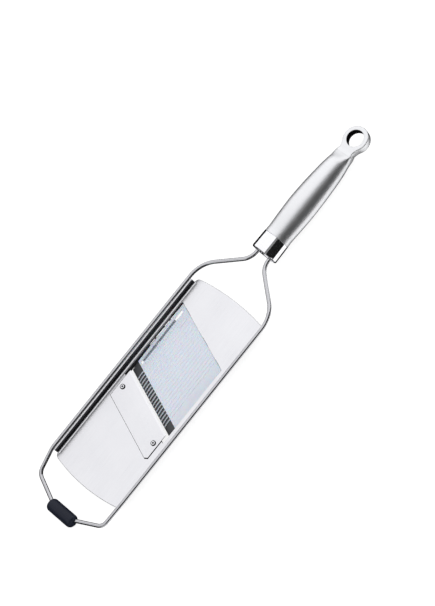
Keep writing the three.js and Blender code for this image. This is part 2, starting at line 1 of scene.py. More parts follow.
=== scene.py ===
# %% [markdown]
# # A hand-held mandoline slicer
#
# A food slicer is a flat steel channel hung in one bent wire. Food slides down the channel, over a
# ribbed ramp, and onto a slanted blade. The height of the ramp under the blade's edge is the
# thickness of the slice.
#
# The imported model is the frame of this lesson. Its pieces sit in the right places already, but
# they are coarse. Each visible piece is made again here, finely, with bmesh operators, or taken
# over and given soft edges. Each then rides on the body that moves it.

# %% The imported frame
import json
from math import ceil, copysign, cos, pi, radians, sin, tan

import bmesh
import bpy
from mathutils import Matrix, Vector


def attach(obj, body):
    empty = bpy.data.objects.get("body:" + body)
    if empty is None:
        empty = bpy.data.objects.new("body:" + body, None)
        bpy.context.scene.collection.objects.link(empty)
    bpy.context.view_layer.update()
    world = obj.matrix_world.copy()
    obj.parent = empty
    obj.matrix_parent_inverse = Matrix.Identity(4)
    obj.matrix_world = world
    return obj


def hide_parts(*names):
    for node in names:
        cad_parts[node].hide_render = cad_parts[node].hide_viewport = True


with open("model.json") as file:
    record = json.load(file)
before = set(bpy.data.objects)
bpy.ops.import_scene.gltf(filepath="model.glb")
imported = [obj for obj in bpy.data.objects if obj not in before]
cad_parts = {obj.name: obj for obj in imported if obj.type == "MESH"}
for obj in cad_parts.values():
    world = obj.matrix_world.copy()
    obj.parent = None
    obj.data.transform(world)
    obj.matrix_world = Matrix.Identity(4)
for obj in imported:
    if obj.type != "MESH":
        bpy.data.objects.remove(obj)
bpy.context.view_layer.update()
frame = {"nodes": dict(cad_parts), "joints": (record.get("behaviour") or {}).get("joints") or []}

# %% [markdown]
# ## Where everything is measured from
#
# A toolmaker draws a slicer in millimetres about the middle of its plate, with the food face at
# height zero. The frame is in metres and stands on the table. One point is known in both, the
# hinge of the ramp, so it gives the shift between the two.

# %% The drawing's origin
MM = 0.001
HINGE_ON_DRAWING = Vector((62.5, 0, -3.6))
hinge = next(joint for joint in frame["joints"] if joint["name"] == "ramp_tilt")
drawing_origin = Vector(hinge["pos_m"]) - HINGE_ON_DRAWING * MM
print("the plate's centre is at", [round(v, 5) for v in drawing_origin])

# %% [markdown]
# ## Finishing a piece
#
# Every piece ends the same way: its normals point out, its millimetres become metres in the frame,
# its flat faces stay flat and its curves turn smooth, and it is tied to a body. One helper does
# this, so no piece can miss a step. The Weighted Normal modifier keeps wide faces flat beside
# narrow rounded edges, which matters on polished steel, where every wrong normal is a wrong
# reflection.

# %% A helper that finishes a piece
SHARP_ANGLE = radians(38)


def dress(name, mesh, body, finishes, nodes):
    """Makes an object of a finished mesh, with its finishes, its body and its nodes."""
    for material in finishes:
        mesh.materials.append(material)
    mesh.shade_smooth()
    mesh.set_sharp_from_angle(angle=SHARP_ANGLE)
    piece = bpy.data.objects.new(name, mesh)
    bpy.context.scene.collection.objects.link(piece)
    flats = piece.modifiers.new("flats", "WEIGHTED_NORMAL")
    flats.keep_sharp = True
    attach(piece, body)
    if nodes:
        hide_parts(*nodes)
    print(name, "has", len(mesh.polygons), "faces")
    return piece


def settle(bm, name, body, finishes, nodes=()):
    """Moves a shape drawn in millimetres into the frame and finishes it."""
    bmesh.ops.recalc_face_normals(bm, faces=bm.faces)
    into_frame = Matrix.Translation(drawing_origin) @ Matrix.Scale(MM, 4)
    bmesh.ops.transform(bm, matrix=into_frame, verts=bm.verts)
    mesh = bpy.data.meshes.new(name)
    bm.to_mesh(mesh)
    bm.free()
    return dress(name, mesh, body, finishes, nodes)


# %% [markdown]
# ## Steel, in several finishes
#
# Stainless steel is one metal, and what the eye tells apart is how it was finished. A satin plate
# has long fine grain from the rolling mill. A turned handle has grain that runs round it. A
# polished wire has almost none. So one function makes all of them from Noise that is stretched
# along the grain by a Mapping node. The noise moves the tone a little, moves the roughness more,
# and lifts the surface by microns through a Bump node. Faces in a recess or a gap get dark
# colours that are painted shade, and the insides of the plate's walls get a painted reflection.
#
# The patterns read Object coordinates, which are metres in the frame, so a scale of 5200 means
# grain about a fifth of a millimetre apart.

# %% A helper for grained finishes
NOISE_LOW, NOISE_HIGH = 0.3, 0.7
CLOUD_SCALE, CLOUD_SHARE = 28.0, 0.35
BUMP_HEIGHT = 0.00004


def grained(name, dark, light, metal, rough, grain, relief=0.1, **sockets):
    """A finish whose tone, roughness and surface follow noise stretched along its grain."""
    material = bpy.data.materials.new(name)
    material.use_nodes = True
    nodes, links = material.node_tree.nodes, material.node_tree.links
    shader = nodes["Principled BSDF"]
    shader.inputs["Metallic"].default_value = metal
    for socket, value in sockets.items():
        shader.inputs[socket.replace("_", " ")].default_value = value

    place = nodes.new("ShaderNodeTexCoord")
    stretch = nodes.new("ShaderNodeMapping")
    stretch.inputs["Scale"].default_value = grain
    links.new(place.outputs["Object"], stretch.inputs["Vector"])
    fibres = nodes.new("ShaderNodeTexNoise")
    fibres.inputs["Scale"].default_value = 1.0
    fibres.inputs["Detail"].default_value = 3.0
    links.new(stretch.outputs["Vector"], fibres.inputs["Vector"])

    clouds = nodes.new("ShaderNodeTexNoise")
    clouds.inputs["Scale"].default_value = CLOUD_SCALE
    clouds.inputs["Detail"].default_value = 2.0
    links.new(place.outputs["Object"], clouds.inputs["Vector"])
    blend = nodes.new("ShaderNodeMix")
    blend.inputs["Factor"].default_value = CLOUD_SHARE
    links.new(fibres.outputs["Fac"], blend.inputs["A"])
    links.new(clouds.outputs["Fac"], blend.inputs["B"])

    tone = nodes.new("ShaderNodeValToRGB")
    tone.color_ramp.elements[0].position = NOISE_LOW
    tone.color_ramp.elements[0].color = (*dark, 1)
    tone.color_ramp.elements[1].position = NOISE_HIGH
    tone.color_ramp.elements[1].color = (*light, 1)
    links.new(blend.outputs["Result"], tone.inputs["Fac"])
    links.new(tone.outputs["Color"], shader.inputs["Base Color"])

    wear = nodes.new("ShaderNodeMapRange")
    wear.inputs["From Min"].default_value = NOISE_LOW
    wear.inputs["From Max"].default_value = NOISE_HIGH
    wear.inputs["To Min"].default_value = rough[0]
    wear.inputs["To Max"].default_value = rough[1]
    links.new(blend.outputs["Result"], wear.inputs["Value"])
    links.new(wear.outputs["Result"], shader.inputs["Roughness"])

    bump = nodes.new("ShaderNodeBump")
    bump.inputs["Strength"].default_value = relief
    bump.inputs["Distance"].default_value = BUMP_HEIGHT
    links.new(fibres.outputs["Fac"], bump.inputs["Height"])
    links.new(bump.outputs["Normal"], shader.inputs["Normal"])
    print("finish", name)
    return material


# %% The steel finishes
ALONG_PLATE = (40, 5200, 5200)
ROUND_HANDLE = (5200, 160, 160)
ALONG_BLADE = (3600, 260, 900)
ALONG_RAMP = (60, 1500, 1500)
EVEN_GRAIN = (900, 900, 900)
plate_steel = grained("satin plate steel", (0.76, 0.76, 0.79), (0.88, 0.88, 0.9), 1.0,
                      (0.26, 0.36), ALONG_PLATE)
# A dark colour for the walls' inner faces, which is a painted reflection.
painted_reflection_wall_steel = grained("wall steel with painted dark reflection", (0.035, 0.036, 0.04), (0.09, 0.09, 0.1), 1.0,
                     (0.16, 0.26), ALONG_PLATE)
wire_steel = grained("polished wire steel", (0.48, 0.48, 0.5), (0.6, 0.6, 0.62), 1.0,
                     (0.1, 0.18), EVEN_GRAIN, relief=0.03)
handle_steel = grained("turned satin handle steel", (0.78, 0.79, 0.8), (0.88, 0.88, 0.9), 1.0,
                       (0.36, 0.44), ROUND_HANDLE)
collar_steel = grained("mirror collar steel", (0.88, 0.88, 0.9), (0.94, 0.94, 0.96), 1.0,
                       (0.03, 0.06), ROUND_HANDLE, relief=0.01)
blade_steel = grained("ground blade steel", (0.76, 0.76, 0.79), (0.86, 0.86, 0.88), 1.0,
                      (0.2, 0.28), ALONG_BLADE, relief=0.06)
edge_steel = grained("honed edge steel", (0.76, 0.76, 0.78), (0.84, 0.84, 0.86), 1.0,
                     (0.12, 0.18), ALONG_BLADE, relief=0.03)
# Near black painted shade for the wall of the eye's hole.
shadow_steel = grained("dark recess steel", (0.02, 0.021, 0.024), (0.05, 0.05, 0.055), 1.0,
                       (0.2, 0.32), EVEN_GRAIN, relief=0.05)
# Grey painted shade for the window's edge and for the cheeks' inner faces.
painted_shade_grey_steel = grained("grey steel with painted gap shade", (0.2, 0.2, 0.22), (0.3, 0.3, 0.32), 1.0,
                     (0.35, 0.45), ALONG_PLATE)
# Near black painted shade for the blade's seat and for the screws' rims and sockets.
painted_recess_shade = grained("painted near black recess shade", (0.004, 0.004, 0.005), (0.012, 0.012, 0.014), 0.0,
                       (0.5, 0.7), EVEN_GRAIN, relief=0.05, Specular_IOR_Level=0.1)

# %% [markdown]
# ## Rubber and plastic
#
# The foot is black rubber with a slight blue cast, and a low specular level keeps it from looking
# glossy. The ramp is a frosted, pale blue plastic. Light goes a little way into it and comes out
# again, so it has some Subsurface. Its fingers are a darker grey, which is painted shade of the
# gap under the blade's edge. Its marks are a darker plastic, and the small parts of the adjuster
# are darker still.

# %% The rubber and plastic finishes
foot_rubber = grained("black foot rubber", (0.006, 0.008, 0.016), (0.014, 0.017, 0.032), 0.0,
                      (0.36, 0.48), (2600, 2600, 2600), relief=0.25,
                      Specular_IOR_Level=0.22)
ramp_plastic = grained("frosted ramp plastic", (0.64, 0.7, 0.77), (0.69, 0.75, 0.82), 0.0,
                       (0.35, 0.45), ALONG_RAMP, relief=0.1,
                       Specular_IOR_Level=0.3, Subsurface_Weight=0.3, Subsurface_Scale=0.002)
# The fingers' darker grey is painted shade of the gap under the blade's edge.
painted_shade_finger_plastic = grained("finger plastic with painted gap shade", (0.36, 0.39, 0.42), (0.48, 0.51, 0.54), 0.0,
                         (0.35, 0.45), ALONG_RAMP, relief=0.1, Specular_IOR_Level=0.3)
mark_plastic = grained("marked ramp plastic", (0.42, 0.47, 0.53), (0.5, 0.55, 0.61), 0.0,
                       (0.4, 0.5), EVEN_GRAIN, relief=0.1, Specular_IOR_Level=0.3)
dark_plastic = grained("dark adjuster plastic", (0.03, 0.032, 0.036), (0.055, 0.058, 0.064), 0.0,
                       (0.4, 0.55), (2200, 2200, 2200), relief=0.3)
anchor_resin = grained("grey anchor resin", (0.2, 0.21, 0.23), (0.3, 0.31, 0.33), 0.0,
                       (0.5, 0.7), (700, 700, 700), relief=0.4)

# %% [markdown]
# ## The wire frame
#
# The frame is one polished wire. A wire bender pushes the wire forward, turns it round a roller,
# and pushes again. The same two moves make it here: Extrude for each straight run and Spin for
# each bend, starting from a circle. A curve with a bevel would be quicker, but its corners would
# be splines, and a bent wire has true arcs.

# %% The wire's corners
WIRE_RADIUS = 1.698
WIRE_HEIGHT = 6.5
PLATE_END = 98.0
RAIL_Y = 42.0
TAIL_Y = 6.9
DIP_START = -PLATE_END + 8.3
LOOP_END = -PLATE_END - 27.9
LOOP_DROP = 7.25
SHOULDER_X = -PLATE_END - 14.7


def wire_height(x):
    """The wire's height past the plate, where it dips towards the foot."""
    return WIRE_HEIGHT - LOOP_DROP * (DIP_START - x) / (DIP_START - LOOP_END)


half_wire = [
    Vector((PLATE_END + 78.4, TAIL_Y, WIRE_HEIGHT)),
    Vector((PLATE_END + 35.9, TAIL_Y, WIRE_HEIGHT)),
    Vector((PLATE_END + 7.3, RAIL_Y, WIRE_HEIGHT)),
    Vector((DIP_START, RAIL_Y, WIRE_HEIGHT)),
    Vector((SHOULDER_X, RAIL_Y - 3, wire_height(SHOULDER_X))),
    Vector((LOOP_END, 9.7, wire_height(LOOP_END))),
]
half_radii = [16, 28, 24, 9, 7]
wire_corners = half_wire + [Vector((p.x, -p.y, p.z)) for p in reversed(half_wire)]
wire_radii = half_radii + half_radii[::-1]
print("the wire has", len(wire_radii), "bends")


# %% Bending the wire
def new_edges(geometry):
    """The edges among what an operator returns."""
    return [g for g in geometry if isinstance(g, bmesh.types.BMEdge)]


def new_verts(geometry):
    """The vertices among what an operator returns."""
    return [g for g in geometry if isinstance(g, bmesh.types.BMVert)]


def push(bm, rim, move):
    """Extrudes an open rim along a straight run and gives the new rim."""
    grown = bmesh.ops.extrude_edge_only(bm, edges=rim)["geom"]
    bmesh.ops.translate(bm, vec=move, verts=new_verts(grown))
    ends = set(new_verts(grown))
    return [e for e in new_edges(grown) if all(v in ends for v in e.verts)]


def bent_bar(corners, radii, thickness, sides=28, degrees_per_step=4):
    """A round bar through the corners, bent to the radii, closed at both ends."""
    bm = bmesh.new()
    heading = (corners[1] - corners[0]).normalized()
    stand = Matrix.Translation(corners[0]) @ heading.to_track_quat("Z", "Y").to_matrix().to_4x4()
    bmesh.ops.create_circle(bm, radius=thickness, segments=sides, matrix=stand)
    rim, at = bm.edges[:], corners[0]
    for before, corner, after, radius in zip(corners, corners[1:], corners[2:], radii):
        heading, leaving = (corner - before).normalized(), (after - corner).normalized()
        turn, axis = heading.angle(leaving), heading.cross(leaving).normalized()
        setback = radius * tan(turn / 2)
        rim = push(bm, rim, corner - heading * setback - at)
        centre = corner - heading * setback + axis.cross(heading) * radius
        swept = bmesh.ops.spin(
            bm, geom=rim, cent=centre, axis=axis, angle=turn,
            steps=max(2, ceil(turn / radians(degrees_per_step))), use_duplicate=False)
        rim, at = new_edges(swept["geom_last"]), corner + leaving * setback
    push(bm, rim, corners[-1] - at)
    bmesh.ops.holes_fill(bm, edges=bm.edges, sides=0)
    return bm


settle(bent_bar(wire_corners, wire_radii, WIRE_RADIUS), "bent_wire", "frame",
       [wire_steel], ["frame_wire"])

# %% [markdown]
# ## The foot
#
# A moulded rubber sleeve sits on the far end of the loop. It is a round bar with soft ends, so
# half its outline is spun once round its own axis. The wire bends inside it, so a straight hole
# wouldn't do: a slightly thicker copy of the wire is taken out of it with a Boolean.

# %% The foot sleeve
FOOT_RADIUS, FOOT_HALF, FOOT_ROUNDING = 5.79, 14.79, 3.6
BORE_CLEARANCE = 0.12


def spun(outline, centre, axis, steps=64):
    """Spins an outline of points once round an axis through the centre."""
    bm = bmesh.new()
    points = [bm.verts.new(p) for p in outline]
    for a, b in zip(points, points[1:]):
        bm.edges.new((a, b))
    bmesh.ops.spin(bm, geom=bm.verts[:] + bm.edges[:], cent=centre, axis=axis, angle=2 * pi,
                   steps=steps, use_merge=True, use_duplicate=False)
    bmesh.ops.remove_doubles(bm, verts=bm.verts, dist=0.001)
    return bm


def cut_away(bm, tool):
    """Takes the tool's solid out of a shape with an exact Boolean, and frees the tool."""
    parts = []
    for label, shape in (("whole", bm), ("tool", tool)):
        bmesh.ops.recalc_face_normals(shape, faces=shape.faces)
        mesh = bpy.data.meshes.new(label)
        shape.to_mesh(mesh)
        shape.free()
        parts.append(bpy.data.objects.new(label, mesh))
        bpy.context.scene.collection.objects.link(parts[-1])
    whole, cutter = parts
    difference = whole.modifiers.new("cut", "BOOLEAN")
    difference.object, difference.solver = cutter, "EXACT"
    cut_mesh = bpy.data.meshes.new_from_object(
        whole.evaluated_get(bpy.context.evaluated_depsgraph_get()))
    result = bmesh.new()
    result.from_mesh(cut_mesh)
    for part in parts:
        bpy.data.objects.remove(part)
    return result


foot_centre = Vector((LOOP_END, 0, wire_height(LOOP_END)))
shoulder = [(FOOT_RADIUS - FOOT_ROUNDING * (1 - cos(radians(a))),
             FOOT_HALF - FOOT_ROUNDING * (1 - sin(radians(a)))) for a in range(0, 91, 9)]
foot_outline = ([(0, -FOOT_HALF)] + [(r, -y) for r, y in reversed(shoulder)]
                + shoulder + [(0, FOOT_HALF)])
foot = spun([foot_centre + Vector((r, y, 0)) for r, y in foot_outline], foot_centre, (0, 1, 0))
bore = bent_bar(wire_corners, wire_radii, WIRE_RADIUS + BORE_CLEARANCE, sides=24)
settle(cut_away(foot, bore), "rubber_foot", "frame", [foot_rubber], ["end_foot"])

# %% [markdown]
# ## The handle
#
# The handle is a hollow steel shell. It is round for most of its length and swells in the middle
# of the hand, then sinks slightly and flattens into the neck, which carries on into a thick flat
# eye. A spin can't flatten, so the shape is a loft: one closed ring at each station, joined with
# Bridge Edge Loops. Each ring starts as a circle, and raising its coordinates to a power pushes it
# out towards a rounded rectangle, so that a round section can turn into a flat one smoothly.

# %% The handle's outline
HANDLE_START = PLATE_END + 44.4
COLLAR_END = HANDLE_START + 16.6
NECK_X = HANDLE_START + 105.6
EYE_X = NECK_X + 15.9
HANDLE_DROOP, EYE_HALF_HEIGHT = 1.3, 3.8
PLATEAU_X = NECK_X + 4
NECK_RADIUS = 8.2
DROOP_START = HANDLE_START + 47.6
FLAT_START = HANDLE_START + 96
handle_stations = [(COLLAR_END + 0.15, 11.9), (HANDLE_START + 22.6, 11.7),
                   (HANDLE_START + 37.1, 12.37), (HANDLE_START + 51.6, 12.7),
                   (HANDLE_START + 70.5, 12.06), (HANDLE_START + 89.4, 10.64),
                   (NECK_X, NECK_RADIUS)]


def ease(value):
    """Smooth step from 0 to 1."""
    value = min(max(value, 0), 1)
    return value * value * (3 - 2 * value)


def smooth_through(points, share):
    """A point on the smooth curve through all the points, share from 0 to 1 along them."""
    reach = share * (len(points) - 1)
    i = min(int(reach), len(points) - 2)
    t = reach - i
    ring = [points[max(i - 1, 0)], points[i], points[i + 1], points[min(i + 2, len(points) - 1)]]
    a, b, c, d = (Vector(p) for p in ring)
    return b + 0.5 * t * ((c - a) + t * ((2 * a - 5 * b + 4 * c - d) + t * (3 * (b - c) + d - a)))


def add_section(bm, x, wide, high, square, middle, sides=72):
    """One closed ring of the loft, across the handle at x."""
    stand = Matrix.Translation((x, 0, middle)) @ Matrix.Rotation(pi / 2, 4, "Y")
    ring = bmesh.ops.create_circle(bm, radius=1, segments=sides, matrix=stand)["verts"]
    for v in ring:
        y, z = v.co.y, v.co.z - middle
        v.co.y = wide * copysign(abs(y) ** (2 / square), y)
        v.co.z = middle + high * copysign(abs(z) ** (2 / square), z)
    return list({e for v in ring for e in v.link_edges})


def loft(bm, rings):
    """Joins each ring of edges to the next."""
    for near, far in zip(rings, rings[1:]):
        bmesh.ops.bridge_loops(bm, edges=near + far)


def droop_at(x):
    """How far the handle's middle has sunk at x."""
    return HANDLE_DROOP * ease((x - DROOP_START) / (NECK_X - DROOP_START))


def neck_section(bm, x, radius):
    """A ring of the handle: round up to the neck, then flatter and squarer towards the eye."""
    flat = ease((x - FLAT_START) / (PLATEAU_X - FLAT_START))
    high = radius + (EYE_HALF_HEIGHT - radius) * flat
    return add_section(bm, x, radius, high, 2 + 6 * flat ** 2.2, WIRE_HEIGHT - droop_at(x))


print("the handle's outline has", len(handle_stations), "stations")

# %% The handle's shell
bm = bmesh.new()
STEPS = 60
INSIDE_THE_BOX = 0.998
handle_rings = []
for k in range(STEPS + 1):
    x, radius = smooth_through(handle_stations, k / STEPS)
    handle_rings.append(neck_section(bm, x, radius * INSIDE_THE_BOX))
loft(bm, handle_rings)
bmesh.ops.holes_fill(bm, edges=bm.edges, sides=0)
settle(bm, "handle_body", "frame", [handle_steel], ["handle_shell"])

# %% [markdown]
# ## The hanging eye
#
# The eye is a thick flat ring with crisp rims. Its outline is a circle whose inner part is drawn
# out into the neck. The face between that outline and the hole is bridged, extruded downwards and
# bevelled. The open end is then lofted back to the handle's last ring, so the two read as one
# piece of steel.

# %% The eye's plate
EYE_RADIUS, EYE_HOLE = 11.3, 7.6
LEAVE = radians(128)
NECK_HALF = 7.3
FLANK_SHARE = 0.72
HOLE_BEVEL, RIM_BEVEL = 0.45, 0.8
eye_middle = WIRE_HEIGHT - HANDLE_DROOP


def eye_outline(angle):
    """A point of the eye's outline: a circle, then the flank of the neck, then its end."""
    side, turn = copysign(1, angle), abs(angle)
    if turn <= LEAVE:
        return Vector((EYE_X + EYE_RADIUS * cos(turn), side * EYE_RADIUS * sin(turn), 0))
    share = (turn - LEAVE) / (pi - LEAVE)
    leave = Vector((EYE_X + EYE_RADIUS * cos(LEAVE), EYE_RADIUS * sin(LEAVE), 0))
    knee = Vector((PLATEAU_X + 2.2, NECK_HALF * 1.01, 0))
    corner = Vector((PLATEAU_X, NECK_HALF, 0))
    if share < FLANK_SHARE:
        t = share / FLANK_SHARE
        point = leave.lerp(knee, t).lerp(knee.lerp(corner, t), t)
    else:
        t = (share - FLANK_SHARE) / (1 - FLANK_SHARE)
        point = corner.lerp(Vector((PLATEAU_X, 0, 0)), t)
    return Vector((point.x, side * point.y, 0))


bm = bmesh.new()
EYE_SIDES = 100
above = Matrix.Translation((0, 0, eye_middle + EYE_HALF_HEIGHT))
rim = bmesh.ops.create_circle(bm, radius=1, segments=EYE_SIDES, matrix=above)["verts"]
for v in rim:
    place = eye_outline(Vector((1, 0)).angle_signed(Vector((v.co.x, -v.co.y)), 0))
    v.co.x, v.co.y = place.x, place.y
bmesh.ops.create_circle(bm, radius=EYE_HOLE, segments=EYE_SIDES,
                        matrix=above @ Matrix.Translation((EYE_X, 0, 0)))
bmesh.ops.bridge_loops(bm, edges=bm.edges[:])
wall = bmesh.ops.extrude_face_region(bm, geom=bm.faces[:])["geom"]
bmesh.ops.translate(bm, vec=(0, 0, -2 * EYE_HALF_HEIGHT), verts=new_verts(wall))
bmesh.ops.recalc_face_normals(bm, faces=bm.faces)


def at_neck(element):
    """True where all of an edge or face lies in the end that meets the handle."""
    return all(v.co.x < PLATEAU_X + 0.001 for v in element.verts)


def in_hole(element):
    """True where all of an edge or face lies on the wall of the hole."""
    return all(abs((v.co.xy - Vector((EYE_X, 0))).length - EYE_HOLE) < 0.01 for v in element.verts)


crisp = [e for e in bm.edges if e.calc_face_angle(0) > radians(60) and not at_neck(e)
         and abs(e.verts[0].co.z - e.verts[1].co.z) < 0.1]
hole_rims = [e for e in crisp if in_hole(e)]
outer_rims = [e for e in crisp if e not in hole_rims]
for edges, width in ((hole_rims, HOLE_BEVEL), (outer_rims, RIM_BEVEL)):
    bmesh.ops.bevel(bm, geom=edges, offset=width, offset_type="OFFSET", segments=3, profile=0.5,
                    affect="EDGES", material=-1, clamp_overlap=False)
# The hole's wall gets the near black painted shade.
for face in bm.faces:
    face.material_index = int(in_hole(face))
print("the eye's plate has", len(bm.faces), "faces")

# %% The neck that joins it to the handle
bmesh.ops.delete(bm, geom=[f for f in bm.faces if at_neck(f)], context="FACES")
open_end = [e for e in bm.edges if e.is_boundary]
neck_rings = []
for share in (0.02, 0.25, 0.5, 0.75):
    x = NECK_X + (PLATEAU_X - NECK_X) * share
    radius = NECK_RADIUS + (NECK_HALF - NECK_RADIUS) * ease(share)
    neck_rings.append(neck_section(bm, x, radius))
loft(bm, neck_rings + [open_end])
bmesh.ops.holes_fill(bm, edges=[e for e in bm.edges if e.is_boundary], sides=0)
settle(bm, "eye_ring", "frame", [handle_steel, shadow_steel], ["hanging_eye"])

# %% [markdown]
# ## The collar
#
# A mirror-polished collar closes the front of the handle. It is a turned part, so its section is
# spun round the handle's axis: a rounded lip in front, a cylinder, and a small step behind that
# slips into the shell.

# %% The collar
COLLAR_RADIUS, COLLAR_LIP = 12.25, 1.2
MOUTH_RADIUS, MOUTH_DEPTH = 10.95, 4.2
SLEEVE_RADIUS, SLEEVE_BORE, SLEEVE_LENGTH = 10.5, 9.6, 6
STEPS_ROUND_COLLAR = 96
handle_axis = Vector((0, 0, WIRE_HEIGHT))
lip = [(HANDLE_START + COLLAR_LIP * (1 - sin(radians(a))),
        COLLAR_RADIUS - COLLAR_LIP * (1 - cos(radians(a)))) for a in range(90, -1, -9)]
mouth_end, sleeve_end = HANDLE_START + MOUTH_DEPTH, COLLAR_END + SLEEVE_LENGTH
collar_section = [(mouth_end, MOUTH_RADIUS), (HANDLE_START, MOUTH_RADIUS)] + lip + [
    (COLLAR_END - 0.2, 11.92), (COLLAR_END, 11.75), (COLLAR_END, SLEEVE_RADIUS),
    (sleeve_end, SLEEVE_RADIUS), (sleeve_end, SLEEVE_BORE), (mouth_end, SLEEVE_BORE),
    (mouth_end, MOUTH_RADIUS)]
collar_points = [Vector((x, 0, WIRE_HEIGHT + r)) for x, r in collar_section]
settle(spun(collar_points, handle_axis, (1, 0, 0), STEPS_ROUND_COLLAR), "mirror_collar", "frame",
       [collar_steel], ["handle_ferrule"])

# %% [markdown]
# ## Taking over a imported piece
#
# The flat pieces have the right shape already: the folded plate, the blade, the ramp and the
# small parts under it. What they lack is soft edges. A sharp edge never catches the light, and a
# real one always does. So a copy of each is merged, its flat triangles are dissolved into whole
# faces, and its edges are bevelled, most of them by 0.05 to 0.3 mm.

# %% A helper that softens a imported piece
def merged(node):
    """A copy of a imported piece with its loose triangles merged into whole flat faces."""
    bm = bmesh.new()
    bm.from_mesh(frame["nodes"][node].data)
    bmesh.ops.remove_doubles(bm, verts=bm.verts, dist=1e-6)
    bmesh.ops.dissolve_limit(bm, angle_limit=radians(1.5), verts=bm.verts, edges=bm.edges)
    return bm


def crisp_edges(bm):
    """The edges where two faces meet at more than a gentle angle."""
    return [e for e in bm.edges if e.is_manifold and e.calc_face_angle(0) > radians(35)]


TOO_CLOSE = 0.001 * MM


def soften(bm, edges, width, segments=2, clamp=True):
    """Bevels edges by a width in millimetres."""
    bmesh.ops.bevel(bm, geom=edges, offset=width * MM, offset_type="OFFSET", segments=segments,
                    profile=0.5, affect="EDGES", material=-1, clamp_overlap=clamp)
    if clamp:
        bmesh.ops.remove_doubles(bm, verts=bm.verts, dist=TOO_CLOSE)


def softened(node, width, clamp=True):
    """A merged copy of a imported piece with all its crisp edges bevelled."""
    bm = merged(node)
    soften(bm, crisp_edges(bm), width, clamp=clamp)
    return bm


def carry_over(bm, name, body, finishes, node):
    """Finishes a softened piece, which is in the frame already."""
    mesh = bpy.data.meshes.new(name)
    bm.to_mesh(mesh)
    bm.free()
    return dress(name, mesh, body, finishes, [node])


def on_drawing(point):
    """A point of the frame, in the drawing's millimetres."""
    return (point - drawing_origin) / MM


# %% [markdown]
# ## The plate
#
# The plate is a shallow channel. The insides of its two walls look far darker than its floor,
# because they mirror what lies below and beside the slicer, so their faces get a dark colour that
# is a painted reflection. The blade's seat gets a near black painted shade, and the window's edge
# a grey painted shade.

# %% The slicing plate
INNER_HALF = 39.1
SKEW = radians(19.7)
CUTTING_EDGE = -12.0
WALL_END = 90.5
ARC_HALF = 36
WINDOW_EDGE = 36.3
SEAT_TOP = -0.9
BEYOND_WALLS = WALL_END + 0.1
END_BEVEL, EDGE_BEVEL = 0.5, 0.14
BEVEL_FLOOR, BEVEL_MARGIN = -0.85, 2


def on_end_edge(edge):
    """True on the top edge of the plate's curved ends."""
    spots = [on_drawing(v.co) for v in edge.verts]
    return all(abs(p.x) > BEYOND_WALLS and abs(p.z) < 0.05 and abs(p.y) < ARC_HALF
               for p in spots)


def near_end_edge(edge):
    """True for any edge that the wide bevel of the curved ends has touched."""
    spots = [on_drawing(v.co) for v in edge.verts]
    return all(abs(p.x) > BEYOND_WALLS and p.z > BEVEL_FLOOR
               and abs(p.y) < ARC_HALF + BEVEL_MARGIN for p in spots)


bm = merged("slicing_plate")
soften(bm, [e for e in crisp_edges(bm) if on_end_edge(e)], END_BEVEL, 3, clamp=False)
soften(bm, [e for e in crisp_edges(bm) if not near_end_edge(e)], EDGE_BEVEL)
for face in bm.faces:
    spot = on_drawing(face.calc_center_median())
    inward = face.normal.y * spot.y < 0
    # The walls' inner faces get the painted dark reflection.
    on_wall = inward and abs(spot.y) > INNER_HALF - 1.3 and spot.z > 0.5
    # The window's edge gets the grey painted shade.
    on_window = abs(face.normal.y) > 0.7 and abs(spot.y - WINDOW_EDGE) < 0.1 and spot.z < -0.1
    # The blade's seat and the pocket's walls get the near black painted shade.
    on_seat = face.normal.z > 0.9 and abs(spot.z - SEAT_TOP) < 0.05
    behind = spot.x - tan(SKEW) * spot.y < CUTTING_EDGE + 1
    on_seat |= behind and abs(face.normal.z) < 0.3 and -0.95 < spot.z < -0.05
    face.material_index = 1 if on_wall else 2 if on_seat else 3 if on_window else 0
carry_over(bm, "channel_plate", "frame",
           [plate_steel, painted_reflection_wall_steel, painted_recess_shade, painted_shade_grey_steel], "slicing_plate")

# %% [markdown]
# ## The blade and its screws
#
# The blade is ground, so its grain runs towards the edge, and its bevel is honed brighter than the
# rest. The bevel's faces are the ones that lean, and they get their own finish. The screws are
# turned: a flat bright top with a small socket, inside a chamfered rim. The socket and the rim are
# coloured near black, which is painted shade.

# %% The blade
GROUND_WIDTH = 2.2
bm = softened("blade", 0.05)
for face in bm.faces:
    spot = on_drawing(face.calc_center_median())
    ahead = spot.x - tan(SKEW) * spot.y - CUTTING_EDGE
    if 0.3 < face.normal.z < 0.97 and ahead > -GROUND_WIDTH:
        face.material_index = 1
carry_over(bm, "ground_blade", "frame", [blade_steel, edge_steel], "blade")

# %% The screws
SCREW_HEAD = 2.3
BLADE_DEPTH = 26.4
SCREW_X = CUTTING_EDGE - BLADE_DEPTH / 2
SCREW_LIFT = 0.2
BLADE_TOP = 0.1
for side, y in (("left", 29.8), ("right", -26.2)):
    centre = Vector((SCREW_X + tan(SKEW) * y, y, 0))
    head = [(0, 0.3), (0.72, 0.3), (0.78, 0.66), (0.86, 0.7), (1.62, 0.7), (1.72, 0.66),
            (1.9, 0.3), (2.12, 0.22), (2.26, 0.36), (SCREW_HEAD, 0.28), (SCREW_HEAD, 0.02),
            (1.3, 0), (1.3, -3.9), (0, -3.9)]
    section = [centre + Vector((r, 0, BLADE_TOP + SCREW_LIFT + z)) for r, z in head]
    bm = spun(section, centre, (0, 0, 1), 40)
    for face in bm.faces:
        out = (face.calc_center_median().xy - centre.xy).length
        # The socket and the chamfered rim get the near black painted shade.
        face.material_index = int(out > 1.5 or out < 0.9)
    settle(bm, f"screw_{side}", "frame", [blade_steel, painted_recess_shade],
           [f"blade_screw_{side}"])

